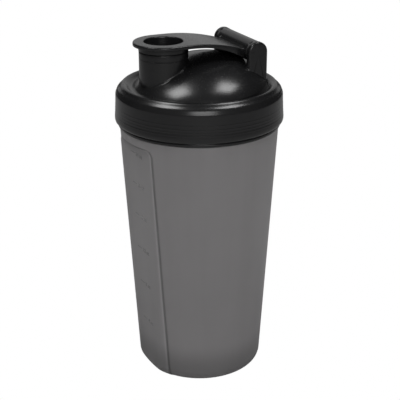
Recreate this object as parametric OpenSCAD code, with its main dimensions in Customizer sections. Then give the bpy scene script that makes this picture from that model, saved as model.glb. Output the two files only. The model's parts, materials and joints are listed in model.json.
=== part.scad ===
// Protein shaker bottle: a tapered cup, a screw lid with a drinking spout, a flip cap and a mixing grid.
// The origin is at the centre of the foot, +Z runs up the cup's axis and the spout is towards -Y.

/* [Cup] */
// Outer radius of the cup at its foot
foot_r = 38.4; // [37:0.1:39]
// Outer radius of the cup just under the lid
brim_r = 47.2; // [46.8:0.1:47.4]
// Height of the tapered wall
wall_h = 156.3; // [150:0.1:156.5]
// Thickness of the cup's wall
wall = 1.6; // [1.2:0.1:2]
// Thickness of the cup's floor
floor_t = 1.8; // [1.4:0.1:2.4]
// Radius of the rounded corner round the foot
foot_round = 3.4; // [2:0.1:4]
// How far the middle of the foot is raised off the table
foot_rise = 1.2; // [0.6:0.1:2]

/* [Measuring panel] */
// Half of the panel's width
panel_half_w = 19.5; // [16:0.5:20]
// Height of the panel's top edge
panel_top = 151; // [120:1:151]
// Distance from the cup's axis to the flat panel at the table
panel_d = 35.65; // [35:0.05:37]
// How far the flat panel leans outwards, in degrees
panel_lean = 2.74; // [2.5:0.02:3]
// How far the panel stands out from the wall around it
panel_step = 0.4; // [0.2:0.1:0.6]
// Turn of the panel about the cup's axis, away from the spout
panel_turn = 5; // [0:1:30]

/* [Neck and thread] */
// Outer radius of the neck
neck_r = 45.4; // [45:0.1:45.6]
// Inner radius of the neck
neck_in_r = 43.7; // [43.5:0.1:43.9]
// Height of the neck's rim
rim_z = 174.7; // [174:0.1:174.8]
// Rise of the thread in one turn
thread_pitch = 5; // [4:0.5:6]
// How far a thread stands out of its wall
thread_depth = 1.2; // [1:0.1:1.3]
// Number of turns in each thread
thread_turns = 1.5; // [1:0.25:2]

/* [Lid] */
// Largest outer radius of the collar
collar_r = 50; // [49.8:0.1:50.4]
// Height of the collar's lower edge
collar_z = 156.9; // [156.7:0.1:157.4]
// Inner radius of the collar's wall
collar_in_r = 47.3; // [47.1:0.1:47.6]
// Radius of the dome at its foot
dome_r = 40.3; // [39.5:0.1:40.6]
// Height of the dome's foot
dome_z = 179.1; // [178.8:0.1:179.6]
// Height of the dome above its foot
dome_h = 18.9; // [17:0.1:19.2]
// Thickness of the dome
dome_t = 2; // [1.6:0.1:2.4]
// Radius of the vent hole
vent_r = 1; // [0.6:0.1:1.4]

/* [Spout] */
// Distance from the lid's axis to the spout's axis
spout_y = 22.3; // [21.5:0.1:22.8]
// Outer radius of the spout
spout_r = 14.2; // [14:0.1:14.4]
// Radius of the spout's bore
bore_r = 12.6; // [12.5:0.05:12.7]
// Height of the spout's shoulder, where the cap's skirt ends
spout_shoulder_z = 202.2; // [201:0.1:202.4]
// Height of the spout's rim
spout_rim_z = 204.4; // [203.6:0.1:204.5]

/* [Flip cap] */
// Height of the cap's top face over the spout
cap_z = 207.7; // [207:0.1:208.2]
// Thickness of the cap's disc
cap_t = 2.2; // [2:0.1:2.3]
// Radius of the cap's disc
cap_r = 17.5; // [16.5:0.1:18.5]
// Half of the strap's width at the hinge
strap_half_w = 15.5; // [13:0.1:16]
// Radius of the recess in the cap's top
recess_r = 11.3; // [10.8:0.1:11.4]
// Height of the underside of the plug
plug_z = 197; // [196:0.1:199]

/* [Hinge] */
// Distance from the lid's axis to the hinge's axis
hinge_y = 26.6; // [26:0.1:27.5]
// Height of the hinge's axis
hinge_z = 200.8; // [200.6:0.1:201.2]
// Radius of the cap's barrel
barrel_r = 5.8; // [5.4:0.1:6]
// Half of the barrel's length
barrel_half = 19; // [18:0.1:19.2]
// Radius of the ears' rounded tops
ear_r = 6; // [5.6:0.1:6.2]
// Distance from the lid's middle to an ear's outer face
ear_out = 23.3; // [22.8:0.1:23.6]
// Distance from the lid's middle to an ear's inner face
ear_in = 19.3; // [19.3:0.1:19.6]
// Radius of the barrel's stub pins
stub_r = 2.2; // [1.8:0.1:2.6]
// Running clearance of a stub pin in its socket
stub_gap = 0.05; // [0.03:0.01:0.1]

/* [Mixing grid] */
// Outer radius of the grid's rim
grid_r = 41; // [40:0.1:41.1]
// Height of the grid's lower face
grid_z = 168; // [166:0.1:169]
// Height of the grid's rim
grid_h = 6; // [4:0.5:6]
// Spacing of the grid's bars
bar_pitch = 8; // [6:0.5:12]
// Width of a bar
bar_w = 1.8; // [1.2:0.1:2.4]

/* [Hidden] */
$fn = 96;
eps = 0.01;
far = 120;
taper = (brim_r - foot_r) / wall_h;            // outward run of the wall per unit of height
floor_z = foot_rise + floor_t;
cup_colour = [0.38, 0.37, 0.38];
lid_colour = [0.09, 0.09, 0.09];
seal_colour = [0.2, 0.2, 0.2];

neck_step = 1.8;                               // height of the step from the wall in to the neck
thread_root = 0.5;                             // part of a thread that is sunk in its wall
thread_crest = 0.9;                            // width of a thread's crest
thread_flank = 0.7;                            // height of each sloped flank
cup_thread_z = 161.5;                          // middle of the neck's thread where it starts
lid_thread_z = cup_thread_z - thread_pitch / 2; // the lid's thread pulls up under the neck's
thread_steps = 30;                             // rings of a thread in each turn

lip_r = 48.2;                                  // radius of the small ring at the collar's lower edge
lip_h = 1.7;
lip_groove = 0.5;                              // depth of the fine groove over that ring
band_z = 161;                                  // height where the collar is widest
// Radii and heights of the rounded ring over the collar, from its outer edge in to the gutter round the dome
ring_line = [[49.2, 175.6], [49.05, 176.3], [48.75, 176.9], [48.6, 177.4], [48.35, 178.2], [47.85, 179.1],
    [47.1, 180], [46.1, 180.85], [45.1, 181.35], [44.2, 181.4], [43.2, 181], [42.2, 180.2], [41.4, 179.4],
    [40.8, 179], [0, 179]];
dome_tilt = 5;                                 // the dome leans back, higher at the hinge
skirt_r = 43.3;                                // ring under the lid that plugs the neck
skirt_in_r = 41.4;
skirt_z = 168.5;
seat_z = 176.7;                                // face that the lid's seal lies on
seat_in_r = 43.3;
seat_out_r = 46.3;

seal_t = 1.6;
seal_in_r = 43.9;
seal_out_r = 45.9;
seal_z = seat_z - 0.1 - seal_t;

dome_lean = 1.4;                               // 1 gives an ellipse, more a leaner dome
bore_start_z = 176;                            // start of the spout's bore, inside the lid
rim_out_r = 13.35;                             // rebated rim of the spout inside the cap's skirt
lead_in = 0.6;                                 // chamfer inside the spout's rim
lead_in_h = 3;
cap_skirt_in = 13.6;
cap_skirt_out = 14.35;
cap_skirt_z = spout_shoulder_z + 0.3;
collar_step_r = 15.3;                          // small step under the cap's disc
collar_step_z = cap_z - cap_t - 0.7;
plug_top_r = 12.1;
plug_end_r = 11.5;
plug_in_r = 10.4;
plug_floor = 1.3;
ring_groove_r = 11.1;                          // bottom of the groove that holds the plug's seal
ring_z = 199.6;
ring_h = 2;
ring_r = 12.4;
strap_bend_y = -14;                            // where the strap's top starts to fall
strap_drop = 0.0046;                           // fall of the strap's top per unit of length squared
strap_thin_y = -4;                             // where the strap's underside starts to fall faster
strap_belly = 0.0052;
strap_end_y = hinge_y - 2;
stub_len = 2.4;

// Points of an arc about a centre, from one angle to another
function arc(c, r, a0, a1, n) =
    [for (i = [0:n]) let (a = a0 + (a1 - a0) * i / n) [c[0] + r * cos(a), c[1] + r * sin(a)]];

// Outer radius of the tapered wall at a height
function wall_r(z) = foot_r + taper * z;

// Points from the foot of a dome to its top: a quarter ellipse, made leaner towards the foot
function dome_line(r, z, h, n) =
    [for (i = [0:n]) let (a = 90 * i / n) [r * cos(a), z + h * pow(sin(a), dome_lean)]];

// Block in front of the flat panel's plane, moved outwards by some distance, up to a height
module before_panel(out, top) {
    intersection() {
        rotate([0, 0, panel_turn])
        translate([0, -panel_d - out / cos(panel_lean), 0])
        rotate([panel_lean, 0, 0])
        translate([-far, -far, -far]) cube([2 * far, far, 4 * far]);
        translate([-far, -far, -far]) cube([2 * far, 2 * far, far + top]);
    }
}

// Upright strip in front of the cup, with rounded upper corners
module panel_strip() {
    corner = 4.5;
    rotate([0, 0, panel_turn])
    rotate([90, 0, 0])
    linear_extrude(far) {
        translate([-panel_half_w, -eps]) square([2 * panel_half_w, panel_top - corner + eps]);
        translate([corner - panel_half_w, 0]) square([2 * (panel_half_w - corner), panel_top]);
        for (side = [-1, 1])
            translate([side * (panel_half_w - corner), panel_top - corner]) circle(corner);
    }
}

// Outline of the tapered wall, swollen outwards by some distance, up to a height
function wall_line(out, top) = concat(
    [[0, 0]],
    arc([foot_r + out - foot_round, foot_round], foot_round, -90, 0, 8),
    [[wall_r(top) + out, top]]);

// Helical thread: one polyhedron whose rings follow the helix; dir 1 points outwards, -1 inwards
module thread(r, z, dir) {
    n = ceil(thread_steps * thread_turns);
    runout = 4;                                // rings over which the thread fades in and out
    half = thread_crest / 2 + thread_flank;
    points = [for (i = [0:n]) let (
            fade = min(1, (i + 0.5) / runout, (n - i + 0.5) / runout),
            a = 360 * i / thread_steps,
            h = z + thread_pitch * i / thread_steps,
            root = r - dir * thread_root,
            tip = r + dir * thread_depth * fade)
        each [[root * cos(a), root * sin(a), h - half], [tip * cos(a), tip * sin(a), h - thread_crest / 2],
              [tip * cos(a), tip * sin(a), h + thread_crest / 2], [root * cos(a), root * sin(a), h + half]]];
    quads = [for (i = [0:n - 1], j = [0:3]) let (k = (j + 1) % 4)
        [4 * i + j, 4 * i + k, 4 * i + 4 + k, 4 * i + 4 + j]];
    sides = dir > 0 ? quads : [for (q = quads) [q[3], q[2], q[1], q[0]]];
    first = [3, 2, 1, 0];
    last = [for (j = [0:3]) 4 * n + j];
    ends = dir > 0 ? [first, last] : [[for (j = [3:-1:0]) first[j]], [for (j = [3:-1:0]) last[j]]];
    polyhedron(points, concat(sides, ends));
}

// Outside of the cup: the tapered wall with its flat, and the neck
module cup_outside() {
    difference() {
        rotate_extrude() polygon(concat(
            wall_line(0, wall_h),
            [[neck_r, wall_h + neck_step], [neck_r, rim_z - 0.8], [neck_r - 0.6, rim_z], [0, rim_z]]));
        before_panel(0, panel_top);
    }
}

// Space inside the cup
module cup_inside() {
    round_r = 3;
    in_r = foot_r + taper * floor_z - wall;
    turn_z = wall_h - 2;
    difference() {
        rotate_extrude() polygon(concat(
            [[0, floor_z]],
            arc([in_r - round_r, floor_z + round_r], round_r, -90, 0, 6),
            [[wall_r(turn_z) - wall, turn_z], [neck_in_r, wall_h + neck_step - 0.6],
             [neck_in_r, rim_z - 0.6], [neck_in_r + 0.6 + eps, rim_z + eps], [0, rim_z + eps]]));
        before_panel(-wall, panel_top - wall);
    }
}

module cup() {
    color(cup_colour)
    difference() {
        union() {
            cup_outside();
            difference() {
                intersection() {
                    rotate_extrude() polygon(concat(wall_line(panel_step, panel_top + 1), [[0, panel_top + 1]]));
                    panel_strip();
                }
                before_panel(panel_step, panel_top + 2);
            }
            thread(neck_r, cup_thread_z, 1);
        }
        cup_inside();
        translate([0, 0, -eps]) cylinder(h = foot_rise + eps, r1 = 32.4, r2 = 31);
    }
}

// Solid under a dome, leaning back towards the hinge
module dome(r, z, h, below) {
    translate([0, 0, dome_z])
    rotate([dome_tilt, 0, 0])
    translate([0, 0, -dome_z])
    rotate_extrude() polygon(concat([[0, z - below], [r, z - below]], dome_line(r, z, h, 20)));
}

// Outside of the lid: the collar, the rounded ring over it and the dome
module lid_outside() {
    rotate_extrude() polygon(concat(
        [[0, collar_z], [lip_r - 0.4, collar_z], [lip_r, collar_z + 0.4], [lip_r, collar_z + lip_h],
         [lip_r - lip_groove, collar_z + lip_h + 0.2], [lip_r - lip_groove, collar_z + lip_h + 0.6],
         [collar_r - 0.6, band_z - 1], [collar_r, band_z]],
        ring_line));
    dome(dome_r, dome_z, dome_h, 5);
}

// Space inside the lid: the threaded wall, the seal's seat, the plugging skirt and the dome
module lid_inside() {
    roof_z = 177.5;
    rotate_extrude() polygon([
        [skirt_r, collar_z - 1], [collar_in_r, collar_z - 1], [collar_in_r, seat_z - 1.2],
        [seat_out_r, seat_z], [skirt_r, seat_z]]);
    translate([0, 0, collar_z - 1]) cylinder(h = roof_z - 2 - collar_z + 1, r = skirt_in_r);
    translate([0, 0, collar_z - 1]) cylinder(h = skirt_z - collar_z + 1, r = skirt_r + eps);
    dome(dome_r - 1.6, roof_z, dome_z + dome_h - dome_t - roof_z, 7);
}

module ear() {
    foot = 179.5;
    translate([ear_in, hinge_y, 0])
    rotate([90, 0, 90])
    linear_extrude(ear_out - ear_in) {
        translate([0, hinge_z]) circle(ear_r);
        translate([-ear_r, foot]) square([2 * ear_r, hinge_z - foot]);
    }
}

module screw_lid() {
    color(lid_colour)
    difference() {
        union() {
            difference() {
                union() {
                    lid_outside();
                    ear();
                    mirror([1, 0, 0]) ear();
                    translate([0, -spout_y, dome_z])
                        cylinder(h = spout_shoulder_z - dome_z, r = spout_r);
                    translate([0, -spout_y, dome_z]) cylinder(h = spout_rim_z - dome_z, r = rim_out_r);
                }
                lid_inside();
            }
            thread(collar_in_r, lid_thread_z, -1);
        }
        translate([0, -spout_y, bore_start_z]) cylinder(h = spout_rim_z - bore_start_z + 1, r = bore_r);
        translate([0, -spout_y, spout_rim_z - lead_in_h])
            cylinder(h = lead_in_h + eps, r1 = bore_r, r2 = bore_r + lead_in);
        translate([0, 3, dome_z]) cylinder(h = dome_h + 5, r = vent_r);
        for (side = [-1, 1])
            translate([side * (ear_in + stub_len / 2), hinge_y, hinge_z])
            rotate([0, 90, 0]) cylinder(h = stub_len + 0.4, r = stub_r + stub_gap, center = true);
    }
}
module lid_seal() {
    round_r = 0.5;
    color(seal_colour)
    rotate_extrude() polygon(concat(
        arc([seal_in_r + round_r, seal_z + round_r], round_r, 180, 270, 4),
        arc([seal_out_r - round_r, seal_z + round_r], round_r, 270, 360, 4),
        arc([seal_out_r - round_r, seal_z + seal_t - round_r], round_r, 0, 90, 4),
        arc([seal_in_r + round_r, seal_z + seal_t - round_r], round_r, 90, 180, 4)));
}

// Side outline of the cap: a flat disc, then a strap that falls in a curve to the barrel
module cap_side() {
    n = 12;
    rotate([90, 0, 90])
    linear_extrude(2 * cap_r + 2, center = true) polygon(concat(
        [[-spout_y - cap_r - 1, cap_z - cap_t], [-spout_y - cap_r - 1, cap_z]],
        [for (i = [0:n]) let (y = strap_bend_y + (strap_end_y - strap_bend_y) * i / n)
            [y, cap_z - strap_drop * pow(y - strap_bend_y, 2)]],
        [for (i = [n:-1:0]) let (y = strap_thin_y + (strap_end_y - strap_thin_y) * i / n)
            [y, cap_z - cap_t - strap_drop * pow(y - strap_bend_y, 2) - strap_belly * pow(y - strap_thin_y, 2)]],
        [[strap_bend_y, cap_z - cap_t]]));
}

// Plan outline of the cap: a disc over the spout, with straight edges that run to the barrel
module cap_plan() {
    run = hinge_y + spout_y;
    lean = atan((cap_r - strap_half_w) / run);
    touch = [cap_r * cos(lean), -spout_y + cap_r * sin(lean)];
    translate([0, 0, plug_z]) linear_extrude(cap_z - plug_z + 1) {
        translate([0, -spout_y]) circle(cap_r);
        polygon([touch, [strap_half_w, hinge_y], [-strap_half_w, hinge_y], [-touch[0], touch[1]]]);
    }
}

module flip_cap() {
    color(lid_colour)
    difference() {
        union() {
            intersection() {
                cap_side();
                cap_plan();
            }
            translate([0, hinge_y, hinge_z]) rotate([0, 90, 0]) {
                cylinder(h = 2 * barrel_half, r = barrel_r, center = true);
                cylinder(h = 2 * (ear_in + stub_len - 0.3), r = stub_r, center = true);
            }
            translate([0, -spout_y, 0]) {
                translate([0, 0, collar_step_z])
                    cylinder(h = cap_z - cap_t - collar_step_z + eps, r = collar_step_r);
                translate([0, 0, cap_skirt_z])
                    cylinder(h = cap_z - cap_t - cap_skirt_z, r = cap_skirt_out);
            }
        }
        translate([0, -spout_y, 0]) {
            difference() {
                translate([0, 0, plug_z - 1])
                    cylinder(h = cap_z - cap_t - plug_z + 1, r = cap_skirt_in);
                translate([0, 0, plug_z])
                    cylinder(h = cap_z - cap_t - plug_z + 1, r1 = plug_end_r, r2 = plug_top_r);
            }
            translate([0, 0, plug_z + plug_floor])
                cylinder(h = cap_z - plug_z - plug_floor + eps, r1 = plug_in_r, r2 = recess_r);
        }
    }
    color(lid_colour)
    translate([0, -spout_y, 0])
    difference() {
        translate([0, 0, plug_z]) cylinder(h = cap_z - cap_t - plug_z + eps, r1 = plug_end_r, r2 = plug_top_r);
        translate([0, 0, plug_z + plug_floor])
            cylinder(h = cap_z - plug_z - plug_floor + eps, r1 = plug_in_r, r2 = recess_r);
        difference() {
            translate([0, 0, ring_z]) cylinder(h = ring_h, r = cap_skirt_in);
            translate([0, 0, ring_z - 1]) cylinder(h = ring_h + 2, r = ring_groove_r);
        }
    }
}

module plug_seal() {
    lip = 0.5;
    color(seal_colour)
    translate([0, -spout_y, 0])
    rotate_extrude() polygon([
        [ring_groove_r, ring_z], [ring_r - lip, ring_z], [ring_r, ring_z + lip],
        [ring_r, ring_z + ring_h - lip], [ring_r - lip, ring_z + ring_h], [ring_groove_r, ring_z + ring_h]]);
}

module mixing_grid() {
    rim_w = 1.8;
    plate_t = 2;
    bars = floor(grid_r / bar_pitch);
    color(lid_colour)
    translate([0, 0, grid_z]) {
        difference() {
            cylinder(h = grid_h, r = grid_r);
            translate([0, 0, -eps]) cylinder(h = grid_h + 2 * eps, r = grid_r - rim_w);
        }
        linear_extrude(plate_t) intersection() {
            circle(grid_r - rim_w / 2);
            union() {
                for (i = [-bars:bars]) {
                    translate([i * bar_pitch - bar_w / 2, -grid_r]) square([bar_w, 2 * grid_r]);
                    translate([-grid_r, i * bar_pitch - bar_w / 2]) square([2 * grid_r, bar_w]);
                }
            }
        }
    }
}

cup();
screw_lid();
lid_seal();
flip_cap();
plug_seal();
mixing_grid();
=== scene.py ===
import bpy, bmesh, json, math
import numpy as np
from mathutils import Matrix, Vector


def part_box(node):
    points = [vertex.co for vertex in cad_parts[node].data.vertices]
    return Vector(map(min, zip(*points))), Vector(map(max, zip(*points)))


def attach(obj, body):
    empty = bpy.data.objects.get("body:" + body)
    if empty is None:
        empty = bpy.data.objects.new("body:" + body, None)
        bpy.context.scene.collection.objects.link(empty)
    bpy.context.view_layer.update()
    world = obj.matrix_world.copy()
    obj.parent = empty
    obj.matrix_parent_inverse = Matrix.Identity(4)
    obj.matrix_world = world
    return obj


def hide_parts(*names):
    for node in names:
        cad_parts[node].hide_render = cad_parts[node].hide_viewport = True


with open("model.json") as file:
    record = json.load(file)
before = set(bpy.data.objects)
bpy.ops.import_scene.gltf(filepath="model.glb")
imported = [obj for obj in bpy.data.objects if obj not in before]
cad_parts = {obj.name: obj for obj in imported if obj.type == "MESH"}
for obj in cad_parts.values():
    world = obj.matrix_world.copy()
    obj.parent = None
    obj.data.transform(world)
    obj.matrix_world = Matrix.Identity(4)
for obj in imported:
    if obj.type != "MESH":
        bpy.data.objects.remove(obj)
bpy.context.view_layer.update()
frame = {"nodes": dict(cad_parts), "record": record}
mm = 0.001
sharpTurn = 38                                       # degrees between faces, past which an edge is sharp
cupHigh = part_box("cup")[1]
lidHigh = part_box("screw_lid")[1]
capLow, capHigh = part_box("flip_cap")
hingePos = next(j for j in frame["record"]["behaviour"]["joints"] if j["name"] == "cap_flip")["pos_m"]
print("frame loaded")

# The shapes below are worked out in millimetres and turned into metres as they become meshes.


# 0 below 0, 1 above 1, and 3tt - 2ttt between
def smoothStep(t):
    t = np.clip(t, 0, 1)
    return t * t * (3 - 2 * t)


# the smaller of a and b, rounded where they cross: their mix by h less k h (1 - h), where h runs from 0 to 1
# over a band k wide
def softMin(a, b, k):
    h = np.clip(0.5 + 0.5 * (b - a) / k, 0, 1)
    return b + (a - b) * h - k * h * (1 - h)


def softMax(a, b, k):
    return -softMin(-a, -b, k)


# points of an arc: centre plus radius times (cos, sin) of angles in degrees, in even steps
def arcLine(centre, radius, start, end, count=6):
    a = np.radians(np.linspace(start, end, count))
    return np.stack([centre[0] + radius * np.cos(a), centre[1] + radius * np.sin(a)], -1)


# the same line with more points: the old ones, and new ones every step along its length
def finer(line, step):
    line = np.asarray(line, float)
    run = np.concatenate([[0], np.cumsum(np.hypot(*np.diff(line, axis=0).T))])
    at = np.union1d(run, np.arange(0, run[-1], step))
    return np.stack([np.interp(at, run, line[:, 0]), np.interp(at, run, line[:, 1])], -1)


# rings of a line of (radius, height) pairs turned about an upright axis: centre + radius (cos, sin), height
def turned(line, angles, centre=(0, 0)):
    r, z = np.asarray(line, float).T[:, :, None]
    x, y = centre[0] + r * np.cos(angles), centre[1] + r * np.sin(angles)
    return np.stack(np.broadcast_arrays(x, y, z), -1)


# mesh of a grid of points (rows, columns, 3); columns close up, and rows too on a ring-shaped piece
def gridMesh(name, points, ring=False):
    rows, columns = points.shape[:2]
    index = np.arange(rows * columns).reshape(rows, columns)
    if ring:
        index = np.vstack([index, index[:1]])
    beside = np.roll(index, -1, axis=1)
    quads = np.stack([index[:-1], beside[:-1], beside[1:], index[1:]], -1).reshape(-1, 4)
    mesh = bpy.data.meshes.new(name)
    mesh.from_pydata(points.reshape(-1, 3).tolist(), [], quads.tolist())
    return mesh


# piece from a grid of points in millimetres, with a named value at each point where values are given
def gridPiece(name, points, body, material, replaced=(), ring=False, values=None):
    mesh = gridMesh(name, points * mm, ring)
    for label, grid in (values or {}).items():
        shown = mesh.attributes.new(label, "FLOAT", "POINT")
        shown.data.foreach_set("value", grid.ravel().astype(np.float32))
    return closedPiece(name, mesh, body, material, replaced)


# merges seams and poles, turns the faces outwards, shades smooth but for sharp edges, and rides on a body
def closedPiece(name, mesh, body, material, replaced=()):
    work = bmesh.new()
    work.from_mesh(mesh)
    bmesh.ops.remove_doubles(work, verts=work.verts, dist=2e-7)
    bmesh.ops.dissolve_degenerate(work, edges=work.edges, dist=1e-7)
    bmesh.ops.recalc_face_normals(work, faces=work.faces)
    work.to_mesh(mesh)
    work.free()
    mesh.polygons.foreach_set("use_smooth", np.ones(len(mesh.polygons), bool))
    mesh.set_sharp_from_angle(angle=math.radians(sharpTurn))
    mesh.materials.append(material)
    piece = bpy.data.objects.new(name, mesh)
    bpy.context.scene.collection.objects.link(piece)
    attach(piece, body)
    if replaced:
        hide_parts(*replaced)
    return piece


# shared effects, as shader groups

def newGroup(name, inputs, outputs):
    group = bpy.data.node_groups.new(name, "ShaderNodeTree")
    for label, value in inputs.items():
        group.interface.new_socket(label, in_out="INPUT", socket_type="NodeSocketFloat").default_value = value
    for label in outputs:
        group.interface.new_socket(label, in_out="OUTPUT", socket_type="NodeSocketFloat")
    return group, group.nodes.new("NodeGroupInput"), group.nodes.new("NodeGroupOutput")


# a shader node with its inputs linked or set, by their name or, as in i0, by their number
def addNode(tree, kind, settings=None, **values):
    made = tree.nodes.new("ShaderNode" + kind)
    for key, value in (settings or {}).items():
        setattr(made, key, value)
    for label, value in values.items():
        numbered = label[0] == "i" and label[1:].isdigit()
        socket = made.inputs[int(label[1:]) if numbered else label]
        if hasattr(value, "is_output"):
            tree.links.new(value, socket)
        else:
            socket.default_value = value
    return made


def sums(tree, operation, a, b):
    return addNode(tree, "Math", {"operation": operation}, i0=a, i1=b).outputs[0]


# maps start to end onto low to high
def ranged(tree, value, start, end, low=0.0, high=1.0, settings=None):
    ends = {"From Min": start, "From Max": end, "To Min": low, "To Max": high}
    return addNode(tree, "MapRange", settings, Value=value, **ends).outputs[0]


# mix of two colours, each a plain value or another node's output
def mixed(tree, factor, a, b, blend="MIX"):
    settings = {"data_type": "RGBA", "blend_type": blend}
    return addNode(tree, "Mix", settings, Factor=factor, i6=a, i7=b).outputs[2]


# moulded surface: fine grain for the height, broad clouds for the gloss
def makeGrain():
    group, given, out = newGroup("mouldGrain", {"Fine": 1800.0, "Broad": 60.0}, ["Height", "Cloud"])
    place = addNode(group, "TexCoord").outputs["Object"]
    fine = addNode(group, "TexNoise", Vector=place, Scale=given.outputs["Fine"], Detail=3.0, Roughness=0.6)
    broad = addNode(group, "TexNoise", Vector=place, Scale=given.outputs["Broad"], Detail=4.0, Roughness=0.55)
    swell = addNode(group, "TexNoise", Vector=place, Scale=240.0, Detail=2.0)
    height = sums(group, "ADD", fine.outputs["Fac"], sums(group, "MULTIPLY", swell.outputs["Fac"], 0.8))
    group.links.new(height, out.inputs["Height"])
    group.links.new(broad.outputs["Fac"], out.inputs["Cloud"])
    return group


# handling marks: the thin edges of stretched cells, kept only where a broad noise is high
def makeMarks():
    group, given, out = newGroup("handlingMarks", {"Scale": 90.0, "Amount": 0.4}, ["Mask"])
    place = addNode(group, "TexCoord").outputs["Object"]
    bent = addNode(group, "Mapping", Vector=place, Rotation=(0.5, 0.9, 0.3), Scale=(1.0, 0.18, 0.6))
    cells = addNode(group, "TexVoronoi", {"feature": "DISTANCE_TO_EDGE"}, Vector=bent.outputs[0],
                    Scale=given.outputs["Scale"])
    line = ranged(group, cells.outputs["Distance"], 0.0, 0.02, 1.0, 0.0)
    gate = addNode(group, "TexNoise", Vector=place, Scale=45.0, Detail=3.0)
    mask = sums(group, "MULTIPLY", line, ranged(group, gate.outputs["Fac"], 0.52, 0.68))
    group.links.new(sums(group, "MULTIPLY", mask, given.outputs["Amount"]), out.inputs["Mask"])
    return group


# edge wear: how convex the surface is, broken up by a noise
def makeWear():
    group, given, out = newGroup("edgeWear", {"Start": 0.52, "Full": 0.6, "Amount": 0.5}, ["Mask"])
    sharpness = addNode(group, "NewGeometry").outputs["Pointiness"]
    rise = ranged(group, sharpness, given.outputs["Start"], given.outputs["Full"])
    place = addNode(group, "TexCoord").outputs["Object"]
    broken = addNode(group, "TexNoise", Vector=place, Scale=320.0, Detail=4.0)
    mask = sums(group, "MULTIPLY", rise, broken.outputs["Fac"])
    group.links.new(sums(group, "MULTIPLY", mask, given.outputs["Amount"]), out.inputs["Mask"])
    return group


# settled dust: specks, more of them on faces that look up
def makeDust():
    group, given, out = newGroup("settledDust", {"Amount": 0.3, "Speck": 1500.0}, ["Mask"])
    coords = addNode(group, "TexCoord")
    up = addNode(group, "SeparateXYZ", Vector=coords.outputs["Normal"]).outputs["Z"]
    place, scale = coords.outputs["Object"], given.outputs["Speck"]
    speck = addNode(group, "TexNoise", Vector=place, Scale=scale, Detail=2.0)
    spot = ranged(group, speck.outputs["Fac"], 0.62, 0.74)
    mask = sums(group, "MULTIPLY", ranged(group, up, 0.1, 1.0), spot)
    group.links.new(sums(group, "MULTIPLY", mask, given.outputs["Amount"]), out.inputs["Mask"])
    return group


def placeGroup(tree, group, **values):
    made = tree.nodes.new("ShaderNodeGroup")
    made.node_tree = group
    for label, value in values.items():
        made.inputs[label].default_value = value
    return made


grainGroup, marksGroup, wearGroup, dustGroup = makeGrain(), makeMarks(), makeWear(), makeDust()

# finishes

lidFinish = {"colour": (0.0085, 0.0085, 0.009), "worn": (0.022, 0.022, 0.023), "dust": (0.045, 0.044, 0.043),
             "rough": 0.24, "cloud": 0.1, "marks": 0.3, "grain": 0.05, "bend": 1.49}
gridFinish = dict(lidFinish, rough=0.34, grain=0.1)
sealFinish = {"colour": (0.05, 0.05, 0.052), "worn": (0.075, 0.075, 0.076), "dust": (0.12, 0.118, 0.112),
              "rough": 0.6, "cloud": 0.15, "marks": 0.12, "grain": 0.16, "bend": 1.49}
# the cup's dark and pale lines by the strip's edge are painted shade and a painted highlight; its darker foot
# is painted shade
cupFinish = {"colour": (0.40, 0.388, 0.396), "light": (0.45, 0.437, 0.442), "rough": 0.36, "cloud": 0.1,
             "marks": 0.25, "grain": 0.06, "through": 0.45, "bend": 1.49, "edgeShadeAndGlint": 0.45, "foot": 0.66,
             "footShadeZone": (0.008, 0.026), "streak": 0.05, "dust": (0.3, 0.3, 0.3)}
markFinish = {"colour": (0.25, 0.243, 0.248), "light": (0.30, 0.292, 0.297), "rough": 0.5}


def newMaterial(name):
    material = bpy.data.materials.new(name)
    material.use_nodes = True
    return material, material.node_tree, material.node_tree.nodes["Principled BSDF"]


# gloss from the clouds, roughened by scuffs, and a fine bump
def glossAndBump(tree, shader, finish, grain, scuffs):
    smoothest = finish["rough"] - finish["cloud"] / 2
    gloss = sums(tree, "ADD", sums(tree, "MULTIPLY", grain.outputs["Cloud"], finish["cloud"]), smoothest)
    tree.links.new(sums(tree, "ADD", gloss, scuffs), shader.inputs["Roughness"])
    bump = addNode(tree, "Bump", Height=grain.outputs["Height"], Strength=finish["grain"], Distance=0.0002)
    tree.links.new(bump.outputs[0], shader.inputs["Normal"])
    shader.inputs["IOR"].default_value = finish["bend"]


# opaque moulded finish: its colour, worn at the edges, under dust
def moulded(name, finish):
    material, tree, shader = newMaterial(name)
    grain = placeGroup(tree, grainGroup)
    marks = placeGroup(tree, marksGroup, Amount=finish["marks"])
    wear = placeGroup(tree, wearGroup)
    dust = placeGroup(tree, dustGroup)
    worn = mixed(tree, wear.outputs["Mask"], (*finish["colour"], 1), (*finish["worn"], 1))
    dusty = mixed(tree, dust.outputs["Mask"], worn, (*finish["dust"], 1))
    tree.links.new(dusty, shader.inputs["Base Color"])
    scuffs = sums(tree, "ADD", sums(tree, "MULTIPLY", marks.outputs["Mask"], 0.3),
                  sums(tree, "MULTIPLY", dust.outputs["Mask"], 0.3))
    glossAndBump(tree, shader, finish, grain, scuffs)
    return material
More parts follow.
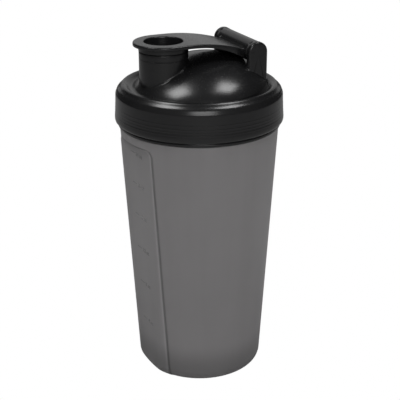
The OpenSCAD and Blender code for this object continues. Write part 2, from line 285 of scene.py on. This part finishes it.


# frosted plastic that lets light through: smoke grey, clouded, with upright streaks, painted shade towards
# the foot, and a painted shade line and painted highlight by the strip's edge
def frosted(name, finish):
    material, tree, shader = newMaterial(name)
    grain = placeGroup(tree, grainGroup, Fine=1400.0, Broad=28.0)
    marks = placeGroup(tree, marksGroup, Amount=finish["marks"])
    dust = placeGroup(tree, dustGroup, Amount=0.2)
    clouded = mixed(tree, grain.outputs["Cloud"], (*finish["colour"], 1), (*finish["light"], 1))
    # painted shade line and painted highlight by the strip's edge, carried on the mesh as a value at each
    # point
    edgeShadeAndGlint = addNode(tree, "Attribute", {"attribute_name": "edgeShadeAndGlint"}).outputs["Fac"]
    shade = ranged(tree, edgeShadeAndGlint, 0.0, 1.0, 1.0, finish["edgeShadeAndGlint"], {"clamp": False})
    place = addNode(tree, "TexCoord").outputs["Object"]
    height = addNode(tree, "SeparateXYZ", Vector=place).outputs["Z"]
    soft = {"interpolation_type": "SMOOTHSTEP"}
    # painted shade: the wall's colour darkens towards the foot
    foot = ranged(tree, height, *finish["footShadeZone"], finish["foot"], 1.0, soft)
    drawn = addNode(tree, "Mapping", Vector=place, Scale=(1, 1, 0.06)).outputs[0]
    streak = addNode(tree, "TexNoise", Vector=drawn, Scale=55.0, Detail=3.0).outputs["Fac"]
    streaked = ranged(tree, streak, 0.3, 0.7, 1 - finish["streak"], 1 + finish["streak"])
    tone = sums(tree, "MULTIPLY", sums(tree, "MULTIPLY", shade, foot), streaked)
    toned = mixed(tree, 1.0, clouded, tone, "MULTIPLY")
    dusty = mixed(tree, dust.outputs["Mask"], toned, (*finish["dust"], 1))
    tree.links.new(dusty, shader.inputs["Base Color"])
    glossAndBump(tree, shader, finish, grain, sums(tree, "MULTIPLY", marks.outputs["Mask"], 0.15))
    shader.inputs["Transmission Weight"].default_value = finish["through"]
    return material


# raised marks: the wall's own grey, darker, with small clouds
def marked(name, finish):
    material, tree, shader = newMaterial(name)
    grain = placeGroup(tree, grainGroup, Fine=1400.0, Broad=300.0)
    clouded = mixed(tree, grain.outputs["Cloud"], (*finish["colour"], 1), (*finish["light"], 1))
    tree.links.new(clouded, shader.inputs["Base Color"])
    shader.inputs["Roughness"].default_value = finish["rough"]
    return material


lidPlastic = moulded("lidPlastic", lidFinish)
capPlastic = moulded("capPlastic", lidFinish)
gridPlastic = moulded("gridPlastic", gridFinish)
sealRubber = moulded("sealRubber", sealFinish)
cupPlastic = frosted("cupPlastic", cupFinish)
markInk = marked("markInk", markFinish)
print("finishes made")

# cup

cupShape = {"foot": 38.4, "brim": 47.2, "wallTop": 156.3, "wall": 1.6, "floor": 3.0, "footRound": 3.4,
            "hollow": 1.2, "neck": 45.4, "bore": 43.7, "rim": cupHigh.z / mm, "soft": 0.8}
# line and glint place a painted shade line just off the strip's edge and a painted highlight just inside it
panelShape = {"turn": 5, "halfWidth": 19.5, "top": 151, "corner": 4.5, "distance": 35.65, "lean": 2.74,
              "proud": 0.4, "edge": 0.32, "line": (0.35, 0.42), "glint": (-0.75, 0.4, 0.6)}
threadShape = {"pitch": 5, "turns": 1.5, "depth": 1.15, "crest": 0.9, "flank": 0.7, "cupStart": 161.5}


def panelDistance(z):                                # of the flat's plane from the axis, at a height
    return panelShape["distance"] + z * math.tan(math.radians(panelShape["lean"]))


# height of a thread over its wall: 0 away from the helix, its depth along the crest, sloped between
def threadRise(angles, z, start):
    t = threadShape
    turn = (angles / (2 * math.pi)) % 1
    rise = 0
    for extra in (0, 1):
        at = turn + extra
        side = np.abs(z - start - t["pitch"] * at)
        fade = smoothStep(np.minimum(at, t["turns"] - at) / 0.12 + 0.05)
        rise = np.maximum(rise, fade * np.clip((t["crest"] / 2 + t["flank"] - side) / t["flank"], 0, 1))
    return rise * t["depth"]


# distance from the edge of the strip that stands proud, a rectangle with round upper corners; below 0 inside
def stripAway(x, z):
    p = panelShape
    across = np.abs(x) - (p["halfWidth"] - p["corner"])
    above = z - (p["top"] - p["corner"])
    outside = np.hypot(np.maximum(across, 0), np.maximum(above, 0))
    return outside + np.minimum(np.maximum(across, above), 0) - p["corner"]


def buildCup():
    c, p = cupShape, panelShape
    slope = (c["brim"] - c["foot"]) / c["wallTop"]
    wallZ = np.concatenate([                         # heights of the wall's rows, closest by the strip's top
        np.linspace(3.7, 145, 48), np.linspace(145.3, 152.6, 34), np.linspace(153.2, 156.1, 5)])
    outside = np.vstack([
        [[0, c["hollow"]], [30.6, c["hollow"]], [31, 1.15], [32.3, 0.1], [32.6, 0], [34.8, 0]],
        arcLine((c["foot"] - c["footRound"], c["footRound"]), c["footRound"], -90, 0, 9),
        np.stack([c["foot"] + slope * (wallZ - 0.2), wallZ], -1),
        [[c["brim"], c["wallTop"]], [45.6, 157.9], [c["neck"], 158.2]],
        finer([[c["neck"], 158.4], [c["neck"], c["rim"] - 1]], 0.4),
        arcLine((c["neck"] - 0.7, c["rim"] - 0.7), 0.7, 0, 90, 5)])
    inside = np.vstack([
        arcLine((c["bore"] + 0.6, c["rim"] - 0.6), 0.6, 90, 180, 5), [[c["bore"], 158], [c["bore"], 157.5]],
        finer([[45.3, 154.5], [36.98, 6.2]], 4), arcLine((33.97, 6), 3, 0, -90, 7),
        finer([[33.4, c["floor"]], [0, c["floor"]]], 8)])
    line = np.vstack([outside, inside])
    r, z = line[:, :1], line[:, 1:]
    isOut = (np.arange(len(line)) < len(outside))[:, None]
    edge = p["halfWidth"]
    near = np.array([-0.9, -0.45, -0.2, -0.1, 0, 0.1, 0.2, 0.45, 0.9, 1.6])    # columns by the strip's edge
    x = np.sort(np.concatenate([np.linspace(-18.2, 18.2, 38), near + edge, -near - edge]))
    inStrip = np.arcsin(x / np.maximum(r, 38))
    rest = inStrip[:, -1:] + (2 * math.pi - 2 * inStrip[:, -1:]) * np.linspace(0, 1, 172)[1:-1]
    around = np.hstack([inStrip, rest])              # angle from the middle of the panel
    facing = np.cos(around)
    front = (facing > 0) & isOut
    mask = smoothStep(0.5 - stripAway(r * np.sin(around), z) / p["edge"])
    mask = np.where(front, mask, 0)                  # 1 on the strip, 0 off it
    flat = panelDistance(z) + 12 * smoothStep((z - p["top"] + 0.3) / 0.9)
    flat = np.where(isOut, flat + p["proud"] * mask, flat - c["wall"])
    wall = r + p["proud"] * mask
    bent = softMin(wall, np.where(facing > 0.25, flat / np.maximum(facing, 0.25), 1e3), c["soft"])
    r = np.where(r > 34, np.where(z < c["wallTop"] - 1, bent, wall), wall)
    angles = around + math.radians(p["turn"] - 90)
    onNeck = isOut & (z > 158.3) & (z < c["rim"] - 0.9)
    r = r + np.where(onNeck, threadRise(angles, z, threadShape["cupStart"]), 0)
    points = np.stack(np.broadcast_arrays(r * np.cos(angles), r * np.sin(angles), z), -1)
    away = stripAway(r * np.sin(around), z)
    # painted shade where the strip's edge casts shade on the wall, and a painted highlight where its round
    # edge catches the light
    (shadeAt, shadeWide), (glintAt, glintWide, glintFull) = p["line"], p["glint"]
    shadeLine = np.exp(-((away - shadeAt) / shadeWide) ** 2)                    # painted shade: a thin dark line just off the strip
    light = glintFull * np.exp(-((away - glintAt) / glintWide) ** 2)     # and a painted highlight, a pale line just inside it
    edgeShadeAndGlint = np.where(front, shadeLine - light, 0)
    return gridPiece("cupShell", points, "cup", cupPlastic, ["cup"], values={"edgeShadeAndGlint": edgeShadeAndGlint})


buildCup()

# marks on the measuring panel

markShape = {"heights": (32.5, 58.5, 82.3, 104.5, 125, 144.5), "ounces": 4, "tall": 2.6, "raised": 0.12,
             "barLong": 5.0, "barThick": 0.45, "barLeft": -5.6, "textLeft": 0.6}


# bar of the scale: a thin oblong with round ends, closed by a pole on each face
def markBar():
    m = markShape
    half, long = m["barThick"] / 2, m["barLong"] / 2
    outline = np.vstack([arcLine((long, 0), half, -90, 90, 7), arcLine((-long, 0), half, 90, 270, 7)])
    rings = np.stack([outline * 0, outline, outline, outline * 0])
    depth = np.array([-1, -1, 1, 1])[:, None, None] * m["raised"]
    flat = np.concatenate([rings, np.broadcast_to(depth, rings[:, :, :1].shape)], -1)
    flat[..., 0] += m["barLeft"] + long
    return gridMesh("bar", flat)


# numbers and bars at their heights, standing on the strip and leaning with it
def buildMarks():
    m, p = markShape, panelShape
    turn, lean = math.radians(p["turn"]), math.radians(p["lean"])
    normal = Vector((math.sin(turn), -math.cos(turn), 0))
    right = Vector((math.cos(turn), math.sin(turn), 0))
    up = (normal * math.tan(lean) + Vector((0, 0, 1))).normalized()
    whole = bmesh.new()
    for i, height in enumerate(m["heights"]):
        curve = bpy.data.curves.new("mark", "FONT")
        curve.body, curve.size, curve.extrude = f"{(i + 1) * m['ounces']} oz", m["tall"] * 1.35, m["raised"]
        text = bpy.data.objects.new("mark", curve)
        bpy.context.scene.collection.objects.link(text)
        bpy.context.view_layer.update()
        mesh = bpy.data.meshes.new_from_object(text.evaluated_get(bpy.context.evaluated_depsgraph_get()))
        foot = normal * (panelDistance(height) + p["proud"]) + Vector((0, 0, height))
        place = Matrix((right, up, right.cross(up))).transposed().to_4x4()
        place.translation = foot + right * m["textLeft"] - up * m["tall"] / 2
        mesh.transform(place)
        whole.from_mesh(mesh)
        bpy.data.objects.remove(text)
        place.translation = foot
        bar = markBar()
        bar.transform(place)
        whole.from_mesh(bar)
    mesh = bpy.data.meshes.new("panelMarks")
    whole.to_mesh(mesh)
    whole.free()
    mesh.transform(Matrix.Scale(mm, 4))
    return closedPiece("panelMarks", mesh, "cup", markInk)


buildMarks()
print("cup made")

# lid

discRadius = 17.5
spoutY = -capLow.y / mm - discRadius                  # the spout's distance in front of the lid's axis
domeShape = {"foot": 40.3, "z": 179.1, "rise": 18.9, "lean": 0.7, "tilt": 5, "ring": 179,
             "inFoot": 38.7, "inZ": 177.5, "inRise": 18.5}
spoutShape = {"outer": 14.2, "rim": 13.35, "bore": 12.6, "shoulder": 202.2, "top": lidHigh.z / mm,
              "fillet": 0.9, "lineZ": 198.4, "ventY": 3, "ventR": 1.0, "ventDeep": 2.2,
              "ventShare": 0.2097}
collarShape = {"inner": 47.3, "low": 156.9, "lip": 48.2, "lipRound": 0.35, "lidThread": 159,
               "lines": (163.9, 165.6, 167.3, 169.6), "lineProud": 0.05, "lineWide": 0.22}


# dome: foot height, plus rise times (1 - (distance from the axis / foot radius) squared) to the power of its
# lean, plus y times the tangent of its tilt; outside it never dips under the flat ring round it
def domeHeight(x, y, inside=False):
    d = domeShape
    foot, z, rise = (d["inFoot"], d["inZ"], d["inRise"]) if inside else (d["foot"], d["z"], d["rise"])
    height = z + rise * np.maximum(1 - (x * x + y * y) / foot ** 2, 0) ** d["lean"]
    height = height + y * math.tan(math.radians(d["tilt"]))
    return height if inside else softMax(height, d["ring"] - 0.15, 1.2)


# rings that run from a circle about the spout to a circle about the lid's axis, straight across in plan
def crossRings(angles, small, big, shares):
    s = np.asarray(shares)[:, None]
    x = (small + (big - small) * s) * np.cos(angles)
    return x, (small + (big - small) * s) * np.sin(angles) - spoutY * (1 - s)


def buildLid():
    s, c, d = spoutShape, collarShape, domeShape
    lip = c["lipRound"]
    rear = math.pi / 2                               # the columns stand closer there, for the vent hole
    angles = np.union1d(np.linspace(0, 2 * math.pi, 241)[:-1], np.linspace(rear - 0.1, rear + 0.1, 33))
    outer = np.vstack([
        [[47.7, c["low"]]], arcLine((c["lip"] - lip, c["low"] + lip), lip, -90, 0, 4),
        arcLine((c["lip"] - lip, c["low"] + 1.3), lip, 0, 80, 4),
        [[47.75, 158.75], [47.7, 159.0], [47.8, 159.25]],
        [[48.7, 159.3], [49.4, 159.65], [49.8, 160.15], [49.96, 160.7], [50, 161.4]],
        finer([[49.96, 162.4], [49.72, 165], [49.47, 170], [49.33, 173.6]], 0.18),
        [[49.3, 174.6], [49.28, 175.2], [49.22, 175.7], [49.12, 176.1], [48.97, 176.45], [48.82, 176.75],
         [48.7, 177.05], [48.58, 177.4], [48.42, 177.8], [48.2, 178.2], [47.92, 178.58], [47.58, 178.92],
         [47.18, 179.25], [46.8, 179.58], [46.44, 179.95], [46.1, 180.34], [45.74, 180.74], [45.35, 181.08],
         [44.9, 181.3], [44.4, 181.4], [43.9, 181.3], [43.35, 181.04], [42.8, 180.68], [42.3, 180.26],
         [41.8, 179.78], [41.3, 179.35], [40.85, 179.05]]])
    beads = [np.exp(-((outer[:, 1] - at) / c["lineWide"]) ** 2) for at in c["lines"]]
    outer[:, 0] += c["lineProud"] * sum(beads)       # faint raised lines round the collar
    shares = np.unique(np.round(np.concatenate([     # closer round the vent hole and at the dome's foot
        np.linspace(0, 1, 46), s["ventShare"] + np.linspace(-0.035, 0.035, 29),
        1 - np.geomspace(0.0008, 0.03, 9)]), 5))
    x, y = crossRings(angles, s["outer"] + s["fillet"], d["foot"], shares[::-1])
    vent = 1 - smoothStep((np.hypot(x, y - s["ventY"]) - s["ventR"] + 0.15) / 0.3)
    dome = np.stack([x, y, domeHeight(x, y) - s["ventDeep"] * vent], -1)
    gap = s["fillet"] * (1 - np.sin(np.radians(np.linspace(10, 90, 8))))[:, None]
    x, y = (s["outer"] + gap) * np.cos(angles), (s["outer"] + gap) * np.sin(angles) - spoutY
    lift = s["fillet"] - np.sqrt(np.maximum(s["fillet"] ** 2 - (s["fillet"] - gap) ** 2, 0))
    fillet = np.stack(np.broadcast_arrays(x, y, domeHeight(x, y) + lift), -1)
    start = fillet[-1, :, 2]
    up = np.linspace(0.04, 1, 10)[:, None]
    tube = np.stack(np.broadcast_arrays(x[-1], y[-1], start + (s["lineZ"] - 0.5 - start) * up), -1)
    z = s["shoulder"]
    rim = turned(np.vstack([
        [[s["outer"], s["lineZ"] - 0.3], [14.02, s["lineZ"] - 0.12], [14.02, s["lineZ"] + 0.12],
         [s["outer"], s["lineZ"] + 0.3], [s["outer"], 200.5]],
        arcLine((s["outer"] - 0.35, z - 0.35), 0.35, 0, 90, 5), [[s["rim"] + 0.1, z], [s["rim"], z + 0.1]],
        [[s["rim"], 204], [13.32, 204.3], [13.26, s["top"]], [13.18, 204.33], [13, 203.4]],
        [[s["bore"], 201.4]]]),
        angles, (0, -spoutY))
    x, y = s["bore"] * np.cos(angles), s["bore"] * np.sin(angles) - spoutY
    under = domeHeight(x, y, inside=True)
    bore = np.stack(np.broadcast_arrays(x, y, 201 + (under - 201) * np.linspace(0, 1, 8)[:, None]), -1)
    x, y = crossRings(angles, s["bore"], d["inFoot"], np.append(np.linspace(0.04, 0.97, 22), [0.99, 1]))
    belly = np.stack([x, y, domeHeight(x, y, inside=True)], -1)
    inner = turned(np.vstack([                       # under the ring: grid's clip, seal's seat, thread's wall
        [[38.9, 175.7], [41.3, 175.5], [41.4, 175.2]], finer([[41.4, 174], [41.4, 169]], 3),
        [[41.45, 168.6], [41.6, 168.5], [43.1, 168.5], [43.25, 168.6], [43.3, 169]],
        finer([[43.3, 170], [43.3, 176.5]], 3),
        [[43.4, 176.7], [46.2, 176.7], [47.2, 175.6], [c["inner"], 175.3]],
        finer([[c["inner"], 174.8], [c["inner"], 157.4]], 0.4),
        [[c["inner"], 157.1], [47.45, c["low"]]]]), angles)
    r = np.hypot(inner[..., 0], inner[..., 1])
    onWall = (r > c["inner"] - 0.01) & (inner[..., 2] < 175) & (inner[..., 2] > 157.2)
    shrink = 1 - np.where(onWall, threadRise(angles, inner[..., 2], c["lidThread"]), 0) / r
    inner = inner * np.stack([shrink, shrink, np.ones_like(r)], -1)
    rows = np.vstack([turned(outer, angles), dome, fillet, tube, rim, bore, belly, inner])
    return gridPiece("lidShell", rows, "lid", lidPlastic, ["screw_lid"], ring=True)


buildLid()

hingeY, hingeZ = hingePos[1] / mm, hingePos[2] / mm
earShape = {"radius": 6, "inner": 19.3, "outer": 23.3, "low": 179.0, "edge": 1.1, "corner": 1.7, "flare": 1.4}


# outline of an ear in its own plane, and its outward normals: half a circle, two sides and round low corners
def earOutline():
    e = earShape
    corner, bottom = e["corner"], e["low"] - hingeZ
    line = np.vstack([[[0, bottom]], arcLine((e["radius"] - corner, bottom + corner), corner, -90, 0, 9),
                      arcLine((0, 0), e["radius"], 0, 180, 41),
                      arcLine((corner - e["radius"], bottom + corner), corner, 180, 270, 9)])
    line = finer(np.vstack([line, line[:1]]), 0.45)[:-1]
    along = np.roll(line, -1, axis=0) - np.roll(line, 1, axis=0)
    normal = np.stack([along[:, 1], -along[:, 0]], -1) / np.hypot(*along.T)[:, None]
    return line, normal


# ear: rings shrink from the outline to the hinge's axis on both faces, and its edges swell where it meets the
# dome
def buildEar(name, side):
    e = earShape
    line, normal = earOutline()
    turn = np.radians(np.linspace(0, 90, 6))[:, None, None]
    rounded = line - normal * e["edge"] * (1 - np.sin(turn))
    half = (e["outer"] - e["inner"]) / 2
    shares = np.linspace(0, 0.98, 34)[:, None, None]
    face = rounded[0] * shares
    across = np.concatenate([np.full(len(shares), half), half - e["edge"] + e["edge"] * np.cos(turn.ravel())])
    plan = np.concatenate([face, rounded])
    plan, across = np.concatenate([plan, plan[::-1]]), np.concatenate([across, -across[::-1]])
    x = np.broadcast_to(across[:, None], plan.shape[:2])
    y, z = plan[..., 0], plan[..., 1] + hingeZ
    middle = side * (e["inner"] + e["outer"]) / 2
    above = np.clip(z - domeHeight(x + middle, y + hingeY), 0, e["flare"])
    swell = e["flare"] - np.sqrt(e["flare"] ** 2 - (e["flare"] - above) ** 2)
    y = y + swell * np.sign(y) * (np.abs(y) / e["radius"]) ** 6
    points = np.stack([x + middle, y + hingeY, z], -1)
    return gridPiece(name, points, "lid", lidPlastic)


buildEar("earLeft", -1)
buildEar("earRight", 1)
print("lid made")

# flip cap

capShape = {"radius": discRadius, "top": capHigh.z / mm, "thick": 2.2, "halfEnd": 15.5, "bend": -14,
            "drop": 0.0046, "thin": -4, "belly": 0.0052, "recess": 11.3, "recessLow": 10.4, "floor": 198.3,
            "edge": 0.8, "low": 197, "plugTop": 12.1, "plugEnd": 11.5, "skirtIn": 13.6, "skirtOut": 14.35,
            "step": 15.3, "underEdge": 0.35}
barrelShape = {"radius": 5.8, "half": 19, "stub": 2.2, "stubEnd": 21.4, "edge": 0.7, "blend": 2.4}


# top of the cap: flat, then falling by drop times (y - bend) squared, and rising again round the barrel
def capTop(y):
    c, b = capShape, barrelShape
    strap = c["top"] - c["drop"] * np.maximum(y - c["bend"], 0) ** 2
    lift = np.sqrt(np.maximum((b["radius"] - 0.1) ** 2 - np.minimum(y - hingeY, 0) ** 2, 0))
    front = hingeY - b["radius"] + 0.1
    barrel = np.where(y > front, hingeZ + lift, hingeZ - 3 * np.maximum(front - y, 0))
    return softMax(strap, barrel, b["blend"])


# underside: the top less its thickness, falling away by belly times (y - thin) squared towards the hinge
def capUnder(y):
    c = capShape
    return (c["top"] - c["thick"] - c["drop"] * np.maximum(y - c["bend"], 0) ** 2
            - c["belly"] * np.maximum(y - c["thin"], 0) ** 2)


# plan outline of the cap about the spout: an arc of the disc, then straight sides to the barrel
def capOutline():
    c = capShape
    run = hingeY + spoutY
    lean = math.degrees(math.atan((c["radius"] - c["halfEnd"]) / run))
    end = run - 1.5
    width = c["radius"] - (c["radius"] - c["halfEnd"]) * end / run
    line = np.vstack([arcLine((0, 0), c["radius"], 180 - lean, 360 + lean, 121),
                      [[width, end], [-width, end]]])
    line = finer(np.vstack([line, line[:1]]), 0.75)[:-1]
    along = np.roll(line, -1, axis=0) - np.roll(line, 1, axis=0)
    return line, np.stack([along[:, 1], -along[:, 0]], -1) / np.hypot(*along.T)[:, None]


def buildCap():
    c = capShape
    line, normal = capOutline()
    angles = np.arctan2(line[:, 1], line[:, 0])
    recess = turned(np.vstack([
        finer([[0, c["floor"]], [c["recessLow"] - 0.9, c["floor"]]], 2.5),
        arcLine((c["recessLow"] - 0.7, c["floor"] + 0.7), 0.7, -90, -5, 5),
        finer([[c["recessLow"] + 0.1, c["floor"] + 1.2], [c["recess"] - 0.05, c["top"] - 0.7]], 2.5),
        arcLine((c["recess"] + 0.5, c["top"] - 0.5), 0.5, 180, 90, 6)]), angles, (0, -spoutY))
    circle = (c["recess"] + 0.7) * np.stack([np.cos(angles), np.sin(angles)], -1)
    inset = line - normal * (c["edge"] + 0.15)
    shares = np.linspace(0, 1, 30)[:, None, None]
    plan = circle * (1 - shares) + inset * shares
    top = np.concatenate([plan, capTop(plan[..., 1:] - spoutY)], -1)
    turn = np.radians(np.linspace(0, 90, 7))[:, None, None]
    plan = line - normal * c["edge"] * (1 - np.sin(turn))
    upper = np.concatenate([plan, capTop(plan[..., 1:] - spoutY) - c["edge"] * (1 - np.cos(turn))], -1)
    small = c["underEdge"]
    plan = line - normal * small * (1 - np.cos(turn))
    lower = np.concatenate([plan, capUnder(plan[..., 1:] - spoutY) + small * (1 - np.sin(turn))], -1)
    step = c["step"] * np.stack([np.cos(angles), np.sin(angles)], -1)
    shares = np.linspace(0.03, 1, 14)[:, None, None]
    plan = (line - normal * small) * (1 - shares) + step * shares
    under = np.concatenate([plan, capUnder(plan[..., 1:] - spoutY)], -1)
    flat = c["top"] - c["thick"]
    below = turned(np.vstack([
        [[c["step"], flat - 0.55], [c["step"] - 0.15, flat - 0.7], [c["skirtOut"] + 0.15, flat - 0.72],
         [c["skirtOut"], flat - 0.9], [c["skirtOut"], 203.2], [c["skirtOut"], 202.7],
         [c["skirtOut"] - 0.2, 202.5],
         [c["skirtIn"] + 0.15, 202.5], [c["skirtIn"], 202.7], [c["skirtIn"], flat - 0.2], [13.4, flat],
         [12.3, flat], [c["plugTop"], flat - 0.2], [11.9, 201.8], [11.8, 201.6], [11.1, 201.6], [11.1, 199.6],
         [11.7, 199.6], [11.8, 199.4], [c["plugEnd"] + 0.05, 197.5]],
        arcLine((c["plugEnd"] - 0.5, c["low"] + 0.5), 0.5, 0, -90, 5),
        finer([[10.5, c["low"]], [0, c["low"]]], 3)]), angles, (0, -spoutY))
    placed = np.concatenate([top, upper, lower, under])
    placed[..., 1] -= spoutY
    return gridPiece("capShell", np.concatenate([recess, placed, below]), "cap", capPlastic,
                     ["flip_cap"])


buildCap()


# barrel: a line of (distance along X, radius) turned about the hinge's axis, closed by a pole at each end
def buildBarrel():
    b = barrelShape
    end = np.vstack([[[b["stubEnd"], 0], [b["stubEnd"], 1.8], [b["stubEnd"] - 0.4, b["stub"]],
                      [b["half"] + 0.1, b["stub"]], [b["half"], b["stub"] + 0.1],
                      [b["half"], b["radius"] - b["edge"] - 0.1]],
                     arcLine((b["half"] - b["edge"], b["radius"] - b["edge"]), b["edge"], 0, 90, 7)])
    line = np.vstack([end, finer([[b["half"] - 1, b["radius"]], [1 - b["half"], b["radius"]]], 2),
                      (end * [-1, 1])[::-1]])
    angles = np.linspace(0, 2 * math.pi, 97)[:-1]
    x, r = line.T[:, :, None]
    points = np.stack(np.broadcast_arrays(x, hingeY + r * np.cos(angles), hingeZ + r * np.sin(angles)), -1)
    return gridPiece("capBarrel", points, "cap", capPlastic)


buildBarrel()
print("cap made")

# the CAD's own pieces

for node, material in {"lid_seal": sealRubber, "plug_seal": sealRubber, "mixing_grid": gridPlastic}.items():
    frame["nodes"][node].data.materials.clear()
    frame["nodes"][node].data.materials.append(material)

# studio

studio = {"turn": 65, "away": 0.5387, "height": 0.3311, "side": 0.000328, "pitch": 0.396, "roll": -0.003,
          "lens": 85.09, "front": 0.20, "rear": 0.04, "backdrop": 0.36, "top": 8.0, "key": 3.3,
          "topAway": 1.3, "topSize": 0.44, "floorGap": 0.05}


def addCamera():
    s = studio
    turn = math.radians(s["turn"])
    back = Vector((math.sin(turn), -math.cos(turn), 0))
    right = Vector((math.cos(turn), math.sin(turn), 0))
    ahead = -back * math.cos(s["pitch"]) - Vector((0, 0, math.sin(s["pitch"])))
    place = Matrix((right, right.cross(ahead), -ahead)).transposed().to_4x4()
    place.translation = back * s["away"] + right * s["side"] + Vector((0, 0, s["height"]))
    camera = bpy.data.objects.new("camera", bpy.data.cameras.new("camera"))
    camera.data.lens, camera.data.sensor_width = s["lens"], 36
    camera.data.clip_start = 0.01
    camera.matrix_world = place @ Matrix.Rotation(s["roll"], 4, "Z")
    bpy.context.scene.collection.objects.link(camera)
    bpy.context.scene.camera = camera
    return back, right


# a soft box: a square or oblong light that looks at a point; radiance is how bright its face is
def addSoftBox(name, place, target, width, height, radiance):
    light = bpy.data.lights.new(name, "AREA")
    light.shape, light.size, light.size_y = "RECTANGLE", width, height
    light.energy = radiance * width * height * 4
    box = bpy.data.objects.new(name, light)
    box.location = place
    box.rotation_euler = (Vector(target) - Vector(place)).to_track_quat("-Z", "Y").to_euler()
    bpy.context.scene.collection.objects.link(box)


# floor: a wide disc, pale, that shows plain white and throws only a little light back up
def addFloor():
    angles = np.linspace(0, 2 * math.pi, 65)[:-1]
    points = turned([[0, 0], [80, 0], [300, 0], [1500, 0]], angles[::-1])
    points[..., 2] -= studio["floorGap"]
    mesh = gridMesh("floor", points * mm)
    material, tree, shader = newMaterial("floorPaper")
    shader.inputs["Roughness"].default_value = 0.8
    shader.inputs["Specular IOR Level"].default_value = 0.1
    mottle = addNode(tree, "TexNoise", Scale=30.0, Detail=3.0)
    tree.links.new(ranged(tree, mottle.outputs["Fac"], 0.0, 1.0, 0.5, 0.54), shader.inputs["Base Color"])
    glow = addNode(tree, "Emission", Strength=1.0)
    seen = addNode(tree, "LightPath").outputs["Is Camera Ray"]
    both = addNode(tree, "MixShader", Fac=seen)
    tree.links.new(shader.outputs[0], both.inputs[1])
    tree.links.new(glow.outputs[0], both.inputs[2])
    tree.links.new(both.outputs[0], tree.nodes["Material Output"].inputs["Surface"])
    mesh.materials.append(material)
    floor = bpy.data.objects.new("floor", mesh)
    bpy.context.scene.collection.objects.link(floor)


# room: white to the camera, dim to everything else, so that the soft boxes draw the gloss
def addRoom():
    world = bpy.data.worlds.new("room")
    world.use_nodes = True
    tree = world.node_tree
    white = tree.nodes["Background"]
    white.inputs["Color"].default_value = (1, 1, 1, 1)
    place = addNode(tree, "TexCoord").outputs["Generated"]
    way = addNode(tree, "VectorMath", {"operation": "DOT_PRODUCT"}, i0=place, i1=back)
    tone = ranged(tree, way.outputs["Value"], -0.3, 0.75, studio["rear"], studio["front"])
    dim = addNode(tree, "Background", Color=(1, 1, 1, 1), Strength=tone)
    seen = addNode(tree, "LightPath").outputs["Is Camera Ray"]
    both = addNode(tree, "MixShader", Fac=seen)
    tree.links.new(dim.outputs[0], both.inputs[1])
    tree.links.new(white.outputs[0], both.inputs[2])
    tree.links.new(both.outputs[0], tree.nodes["World Output"].inputs["Surface"])
    bpy.context.scene.world = world


back, right = addCamera()
addFloor()
addRoom()
centre = Vector((0, 0, 0.12))
top = Vector((0, 0, 0.19))
behind = -back * 1.5 + Vector((0, 0, 0.85))
addSoftBox("backdrop", behind, Vector((0, 0, 0.2)), 2.2, 1.3, studio["backdrop"])
for name, across, ahead, up in (("topLeft", -0.45, 0.07, 0.89), ("topRight", 0.40, 0.03, 0.92)):
    place = top + studio["topAway"] * (back * ahead + right * across + Vector((0, 0, up)))
    addSoftBox(name, place, top, studio["topSize"], studio["topSize"], studio["top"])
addSoftBox("front", back * 1.1 + right * 0.12 + Vector((0, 0, 0.62)), centre, 0.6, 0.5, studio["key"])
bpy.context.scene.view_settings.view_transform = "Standard"
print("studio made")
